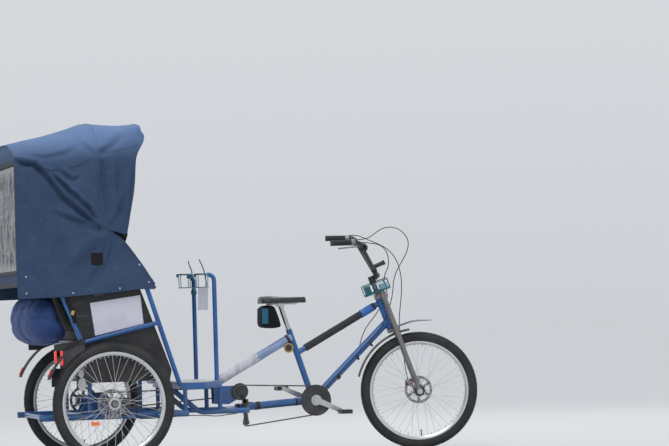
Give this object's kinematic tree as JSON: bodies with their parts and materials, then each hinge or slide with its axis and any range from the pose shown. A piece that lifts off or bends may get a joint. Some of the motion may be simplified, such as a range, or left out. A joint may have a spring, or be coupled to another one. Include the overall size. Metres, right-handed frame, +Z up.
{
  "type": "cycle rickshaw",
  "caption": "Pedal-driven passenger tricycle: bicycle front half, footboard, seat box and folding-style cloth canopy with a rear window.",
  "frame": {"origin": "on the ground, under the middle of the whole vehicle's box", "axes": "+X forward, along the vehicle's length, +Y to the rider's left, +Z up"},
  "size_m": [2.7115, 1.138, 1.9079],
  "materials": {
    "frame_blue": "glossy blue paint",
    "boom_silver": "silver paint",
    "alloy": "satin",
    "bright_steel": "brushed",
    "chrome": "polished",
    "chain_steel": "oiled",
    "black_metal": "black paint",
    "black_plastic": "matte",
    "lever_alloy": "satin",
    "teal_wire": "teal coated wire",
    "tyre_rubber": "worn rubber",
    "cable_black": "smooth outer casing",
    "grip_rubber": "matte",
    "foam_sleeve": "foam",
    "canopy_cloth": "coated navy cloth",
    "bag_cloth": "blue nylon",
    "saddle_bag_cloth": "black nylon",
    "seat_vinyl": "black vinyl",
    "saddle_cover": "black vinyl",
    "clear_vinyl": "clear flexible window",
    "black_board": "black board",
    "deck_metal": "chequered",
    "red_lens": "red lens",
    "clear_lens": "clear lens"
  },
  "bodies": {
    "frame": {"chassis_frame": "frame_blue", "differential": "black_metal", "rear_calipers": "black_metal", "drive_frame": "frame_blue", "jackshaft_plates": "frame_blue", "jackshaft": "black_metal", "derailleur": "alloy", "front_chain": "chain_steel", "rear_chain": "chain_steel", "footboard_frame": "frame_blue", "footboard_deck": "deck_metal", "handrails": "frame_blue", "cup_holders": "teal_wire", "cab_frame": "frame_blue", "side_panel_left": "black_board", "side_panel_right": "black_board", "seat_box": "black_board", "back_board": "black_board", "seat_cushion": "seat_vinyl", "back_cushion": "seat_vinyl", "storage_bag": "bag_cloth", "canopy_roof": "canopy_cloth", "canopy_side_left": "canopy_cloth", "canopy_side_right": "canopy_cloth", "canopy_rear": "canopy_cloth", "rear_window": "clear_vinyl", "canopy_bows": "black_metal", "rear_mudguards": "black_metal", "lamp_brackets": "bright_steel", "tail_lamps": "red_lens", "side_reflectors": "clear_lens", "bike_frame": "frame_blue", "top_tube_sleeve": "foam_sleeve", "upper_boom": "boom_silver", "lower_boom": "frame_blue", "saddle_post": "bright_steel", "saddle": "saddle_cover", "saddle_bag": "saddle_bag_cloth", "control_cables": "cable_black"},
    "steer": {"fork": "alloy", "handlebar": "black_metal", "grips": "grip_rubber", "brake_levers": "lever_alloy", "bar_fittings": "black_plastic", "wire_cage": "black_metal", "front_mudguard": "black_plastic", "front_caliper": "black_metal", "front_brake_hose": "cable_black"},
    "front_wheel": {"front_tyre": "tyre_rubber", "front_rim": "alloy", "front_hub": "alloy"},
    "rear_wheel_left": {"rear_tyre_left": "tyre_rubber", "rear_rim_left": "alloy", "rear_hub_left": "bright_steel"},
    "rear_wheel_right": {"rear_tyre_right": "tyre_rubber", "rear_rim_right": "alloy", "rear_hub_right": "bright_steel"},
    "crank": {"crankset": "alloy"},
    "left_pedal": {"pedal_left": "black_plastic"},
    "right_pedal": {"pedal_right": "black_plastic"}
  },
  "joints": [
    {"name": "steering", "type": "hinge", "parent": "frame", "child": "steer", "pos_m": [0.84776, 0, 0.75265], "axis": [-0.342, 0, 0.9397], "range_deg": [-33, 57], "deforming": ["control_cables"]},
    {"name": "front_wheel_spin", "type": "hinge", "parent": "steer", "child": "front_wheel", "pos_m": [1.02373, -0.00499, 0.33782], "axis": [0.1954, 0.9781, 0.0711], "continuous": true},
    {"name": "rear_left_spin", "type": "hinge", "parent": "frame", "child": "rear_wheel_left", "pos_m": [-0.85678, 0.525, 0.338], "axis": [0, 1, 0], "continuous": true},
    {"name": "rear_right_spin", "type": "hinge", "parent": "frame", "child": "rear_wheel_right", "pos_m": [-0.85678, -0.525, 0.338], "axis": [0, 1, 0], "continuous": true},
    {"name": "crank_spin", "type": "hinge", "parent": "frame", "child": "crank", "pos_m": [0.39322, 0, 0.304], "axis": [0, 1, 0], "continuous": true},
    {"name": "pedal_left_spin", "type": "hinge", "parent": "crank", "child": "left_pedal", "pos_m": [0.24308, 0.1, 0.37242], "axis": [0, 1, 0], "continuous": true},
    {"name": "pedal_right_spin", "type": "hinge", "parent": "crank", "child": "right_pedal", "pos_m": [0.54337, -0.1, 0.23558], "axis": [0, 1, 0], "continuous": true}
  ]
}
